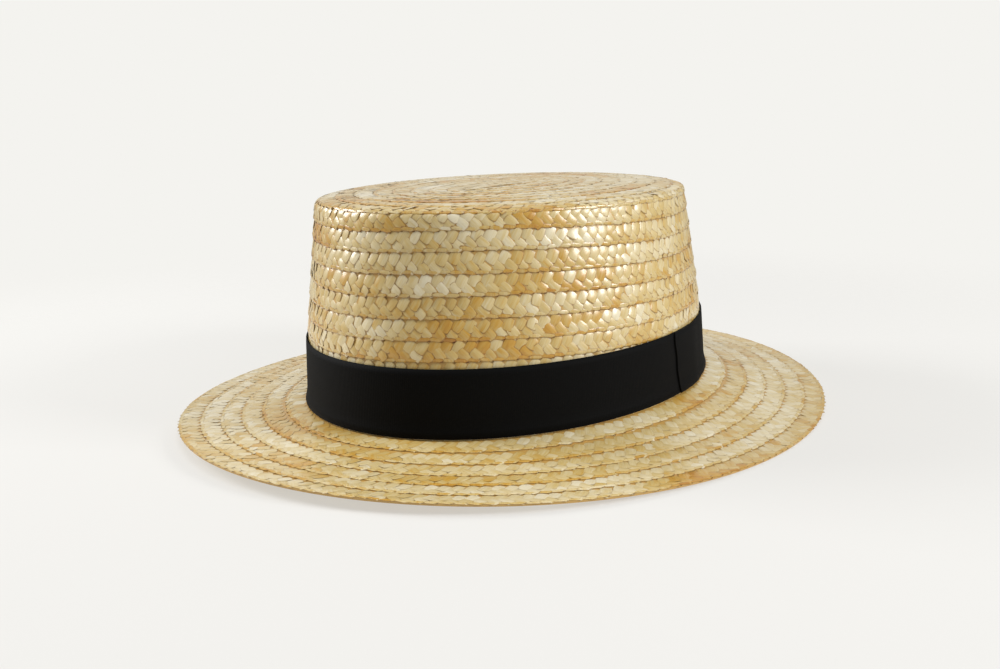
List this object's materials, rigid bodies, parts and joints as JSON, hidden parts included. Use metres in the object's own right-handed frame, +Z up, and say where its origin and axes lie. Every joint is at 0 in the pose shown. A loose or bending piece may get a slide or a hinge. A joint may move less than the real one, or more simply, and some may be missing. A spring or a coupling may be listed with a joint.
{
  "type": "straw boater hat",
  "caption": "Stiff straw boater hat with a flat-topped oval crown, a gently sloping brim of lapped plait rows and a black ribbon round the crown's foot.",
  "frame": {"origin": "under the middle of the brim, on the level of its lowest point, where the hat rests", "axes": "+Z up through the crown's tip, -Y to the wearer's front, +X to the wearer's left"},
  "size_m": [0.2742, 0.3092, 0.0974],
  "materials": {
    "straw": "plaited wheat straw, semi-gloss",
    "ribbon": "matt black grosgrain"
  },
  "bodies": {
    "root": {"crown": "straw", "brim": "straw", "hat_band": "ribbon"}
  },
  "joints": []
}
